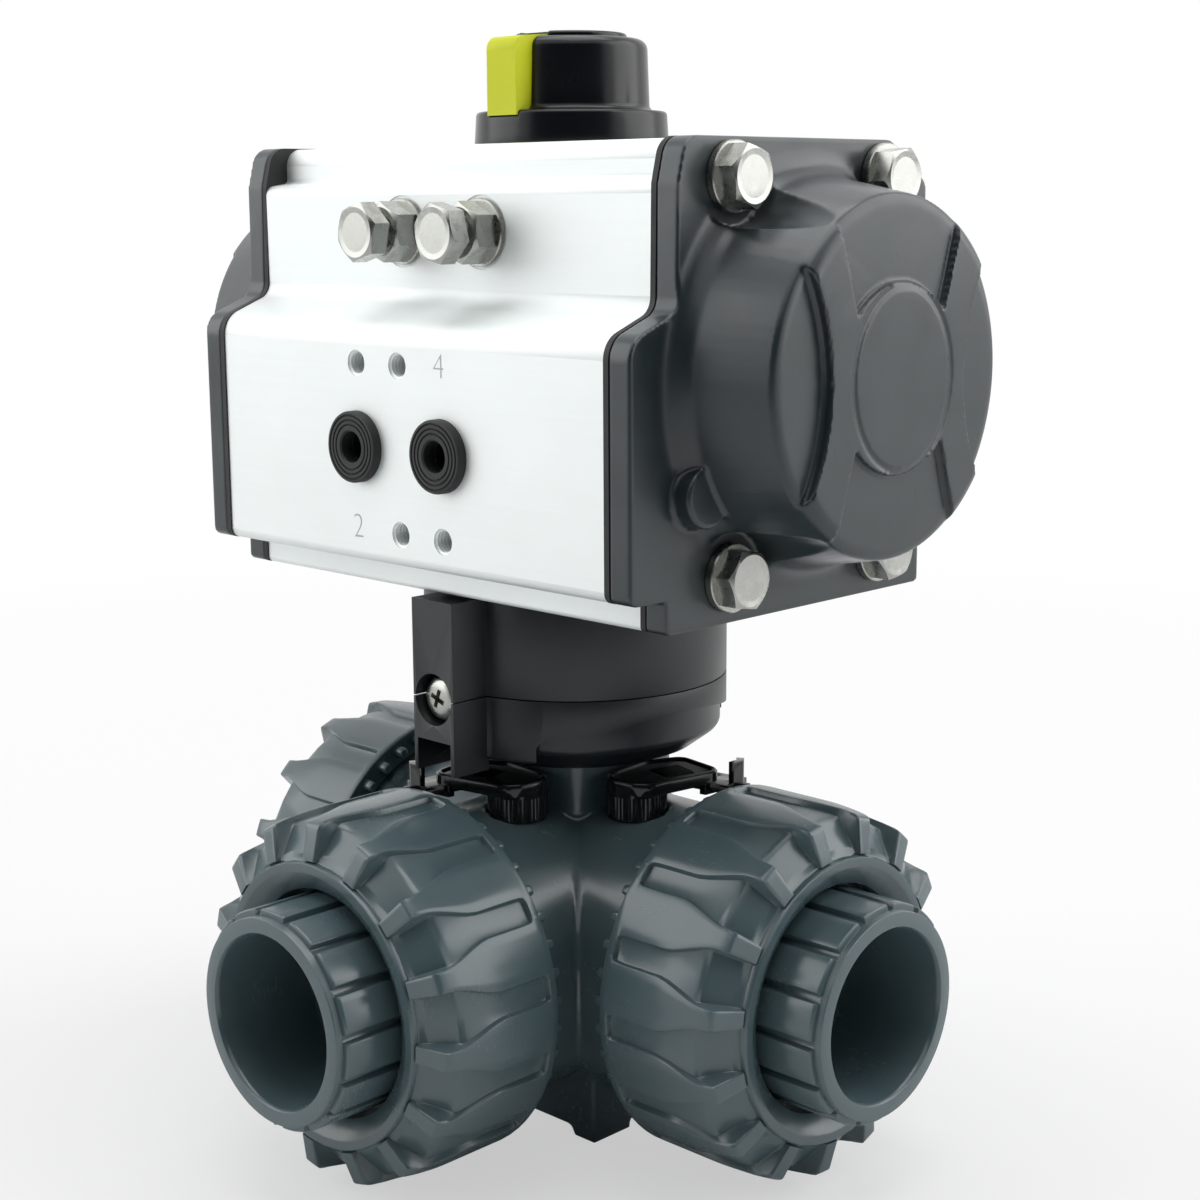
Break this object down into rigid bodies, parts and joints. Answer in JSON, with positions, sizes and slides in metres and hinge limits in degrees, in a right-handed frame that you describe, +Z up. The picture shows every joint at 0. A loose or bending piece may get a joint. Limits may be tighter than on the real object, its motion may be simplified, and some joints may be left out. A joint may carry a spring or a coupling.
{
  "type": "three-way ball valve with pneumatic actuator",
  "caption": "Three-way plastic union ball valve turned by a rack-and-pinion air actuator with end caps, travel stops, position indicator and lockable union nuts.",
  "frame": {"origin": "on the stem axis at the underside of the valve's foot", "axes": "+Z up along the stem, run ports along +X and -X, branch port along -Y, air port face toward -Y"},
  "size_m": [0.163, 0.121, 0.221],
  "materials": {
    "pvc_grey": "soft gloss moulded grey",
    "module_black": "matt moulded black",
    "lever_black": "glossy moulded black",
    "anodised_aluminium": "fine bead-blasted silver anodising",
    "cap_black": "satin dark coating on cast aluminium",
    "stainless": "bright turned stainless",
    "seal_black": "matt rubber",
    "ptfe_white": "smooth white",
    "flag_yellow": "bright yellow moulding",
    "indicator_black": "satin black moulding",
    "steel_drive": "machined steel",
    "cast_piston": "die-cast aluminium",
    "brass_insert": "turned brass"
  },
  "bodies": {
    "housing": {"valve_body": "pvc_grey", "seat_carrier_right": "pvc_grey", "seat_carrier_left": "pvc_grey", "seat_carrier_branch": "pvc_grey", "end_connector_right": "pvc_grey", "end_connector_left": "pvc_grey", "end_connector_branch": "pvc_grey", "foot_threaded_inserts": "brass_insert", "carrier_o_rings": "seal_black", "union_o_rings": "seal_black", "air_port_ring_4": "seal_black", "air_port_ring_2": "seal_black", "cap_gasket_right": "seal_black", "cap_gasket_left": "seal_black", "ball_seat_right": "ptfe_white", "ball_seat_left": "ptfe_white", "ball_seat_branch": "ptfe_white", "ball_seat_back": "ptfe_white", "module_lower_half": "module_black", "module_upper_half": "module_black", "module_lock_screws": "stainless", "module_flange_screws": "stainless", "stop_lock_nuts": "stainless", "stop_washers": "stainless", "cap_screws": "stainless", "cap_screw_washers": "stainless", "actuator_body": "anodised_aluminium", "end_cap_right": "cap_black", "end_cap_left": "cap_black"},
    "drive": {"ball": "pvc_grey", "valve_stem": "pvc_grey", "stem_o_rings": "seal_black", "stem_coupling": "steel_drive", "pinion": "steel_drive", "stop_cam": "steel_drive", "pinion_thrust_washer": "ptfe_white", "pinion_circlip": "steel_drive", "indicator_base": "indicator_black", "indicator_cap": "indicator_black", "indicator_flag": "flag_yellow"},
    "piston_pair_right": {"piston_right": "cast_piston", "piston_guide_right": "ptfe_white", "piston_o_ring_right": "seal_black"},
    "piston_pair_left": {"piston_left": "cast_piston", "piston_guide_left": "ptfe_white", "piston_o_ring_left": "seal_black"},
    "nut_right": {"union_nut_right": "pvc_grey"},
    "nut_left": {"union_nut_left": "pvc_grey"},
    "nut_branch": {"union_nut_branch": "pvc_grey"},
    "lever_right": {"lock_lever_right": "lever_black"},
    "lever_left": {"lock_lever_left": "lever_black"},
    "lever_branch": {"lock_lever_branch": "lever_black"},
    "stop_right": {"stop_screw_right": "stainless"},
    "stop_left": {"stop_screw_left": "stainless"}
  },
  "joints": [
    {"name": "drive_turn", "type": "hinge", "parent": "housing", "child": "drive", "pos_m": [0, 0, 0.1577], "axis": [0, 0, 1], "range_deg": [0, 90]},
    {"name": "piston_right_slide", "type": "slide", "parent": "housing", "child": "piston_pair_right", "axis": [1, 0, 0], "range_m": [0, 0.01649]},
    {"name": "piston_left_slide", "type": "slide", "parent": "housing", "child": "piston_pair_left", "axis": [-1, 0, 0], "range_m": [0, 0.01649]},
    {"name": "nut_right_turn", "type": "hinge", "parent": "housing", "child": "nut_right", "pos_m": [0.056, 0, 0.039], "axis": [1, 0, 0], "continuous": true},
    {"name": "nut_left_turn", "type": "hinge", "parent": "housing", "child": "nut_left", "pos_m": [-0.056, 0, 0.039], "axis": [-1, 0, 0], "continuous": true},
    {"name": "nut_branch_turn", "type": "hinge", "parent": "housing", "child": "nut_branch", "pos_m": [0, -0.056, 0.039], "axis": [0, -1, 0], "continuous": true},
    {"name": "lever_right_lock", "type": "hinge", "parent": "housing", "child": "lever_right", "pos_m": [0.0225, -0.0055, 0.0671], "axis": [0, 0, -1], "range_deg": [0, 10]},
    {"name": "lever_left_lock", "type": "hinge", "parent": "housing", "child": "lever_left", "pos_m": [-0.0225, -0.0055, 0.0671], "axis": [0, 0, 1], "range_deg": [0, 10]},
    {"name": "lever_branch_lock", "type": "hinge", "parent": "housing", "child": "lever_branch", "pos_m": [0.0055, -0.0225, 0.0671], "axis": [0, 0, 1], "range_deg": [0, 10]},
    {"name": "stop_right_adjust", "type": "slide", "parent": "housing", "child": "stop_right", "axis": [0, -1, 0], "range_m": [0, 0.004]},
    {"name": "stop_left_adjust", "type": "slide", "parent": "housing", "child": "stop_left", "axis": [0, -1, 0], "range_m": [0, 0.004]}
  ],
  "couplings": [
    {"joint": "drive_turn", "follows": "piston_right_slide", "rad_per_m": 95.238},
    {"joint": "piston_left_slide", "follows": "piston_right_slide", "ratio": 1}
  ]
}
